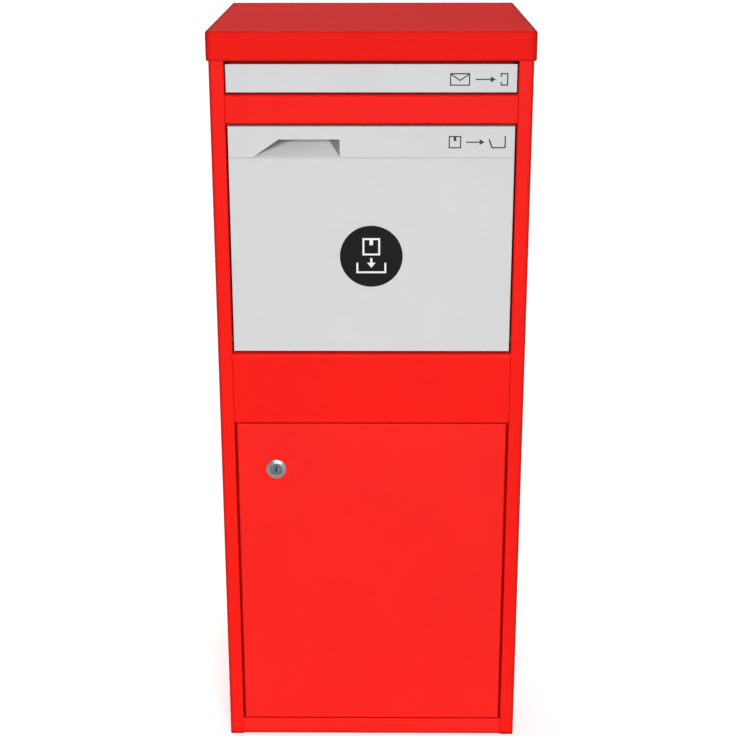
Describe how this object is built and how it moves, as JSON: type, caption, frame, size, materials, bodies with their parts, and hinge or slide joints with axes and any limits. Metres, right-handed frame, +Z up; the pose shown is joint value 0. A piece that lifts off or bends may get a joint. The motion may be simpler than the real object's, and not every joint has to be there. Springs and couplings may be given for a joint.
{
  "type": "parcel mailbox",
  "caption": "Floor-standing sheet-steel parcel mailbox with a slip-over roof, a push-in letter flap, a tilting parcel hatch with a hopper behind it and a keyed emptying door.",
  "frame": {"origin": "middle of the footprint, on the ground", "axes": "+Z up, +X to the right and +Y into the box as seen from the front; the front faces -Y"},
  "size_m": [0.4156, 0.3836, 1.005],
  "materials": {
    "red_powder": "satin powder coat, signal red",
    "grey_powder": "satin powder coat, light silver grey",
    "zinc_steel": "bright zinc plate",
    "black_steel": "black oxide, oiled",
    "lock_chrome": "polished chrome",
    "black_rubber": "matt",
    "nylon": "black, matt",
    "label_film": "black film"
  },
  "bodies": {
    "cabinet": {"body_shell": "red_powder", "roof_cap": "red_powder", "base_pan": "red_powder", "bottom_rail": "red_powder", "lower_cross_panel": "red_powder", "upper_cross_panel": "red_powder", "letter_header": "red_powder", "letter_chute": "red_powder", "chute_rivets": "red_powder", "lock_keeper": "red_powder", "roof_angle_left": "red_powder", "roof_angle_right": "red_powder", "letter_flap_rod": "black_steel", "hatch_pivot_pins": "black_steel", "door_pivot_pins": "black_steel", "roof_studs": "zinc_steel", "roof_nuts": "zinc_steel", "door_buffers": "black_rubber", "hatch_buffers": "black_rubber", "hatch_pivot_washers": "nylon", "door_pivot_washer": "nylon"},
    "letter_flap": {"letter_flap": "grey_powder"},
    "parcel_hatch": {"hatch_panel": "grey_powder", "hatch_top_strip": "grey_powder", "grip_pocket": "grey_powder", "hopper_tray": "red_powder", "hopper_cheek_left": "red_powder", "hopper_cheek_right": "red_powder", "tray_rivets": "zinc_steel", "hatch_stop_studs": "zinc_steel", "hatch_stop_sleeves": "black_rubber", "hatch_label": "label_film"},
    "door": {"door_panel": "red_powder", "door_stiffener": "red_powder", "lock_housing": "lock_chrome", "lock_nut": "zinc_steel"},
    "lock_plug": {"lock_plug": "lock_chrome", "lock_cam": "zinc_steel", "cam_screw": "zinc_steel"}
  },
  "joints": [
    {"name": "letter_flap_swing", "type": "hinge", "parent": "cabinet", "child": "letter_flap", "pos_m": [0, -0.183, 0.9578], "axis": [1, 0, 0], "range_deg": [0, 75]},
    {"name": "parcel_hatch_tilt", "type": "hinge", "parent": "cabinet", "child": "parcel_hatch", "pos_m": [0, -0.182, 0.6007], "axis": [1, 0, 0], "range_deg": [0, 55]},
    {"name": "door_swing", "type": "hinge", "parent": "cabinet", "child": "door", "pos_m": [0.1765, -0.183, 0.2535], "axis": [0, 0, 1], "range_deg": [0, 105]},
    {"name": "lock_turn", "type": "hinge", "parent": "door", "child": "lock_plug", "pos_m": [-0.1304, -0.189, 0.4153], "axis": [0, 1, 0], "range_deg": [0, 90]}
  ]
}
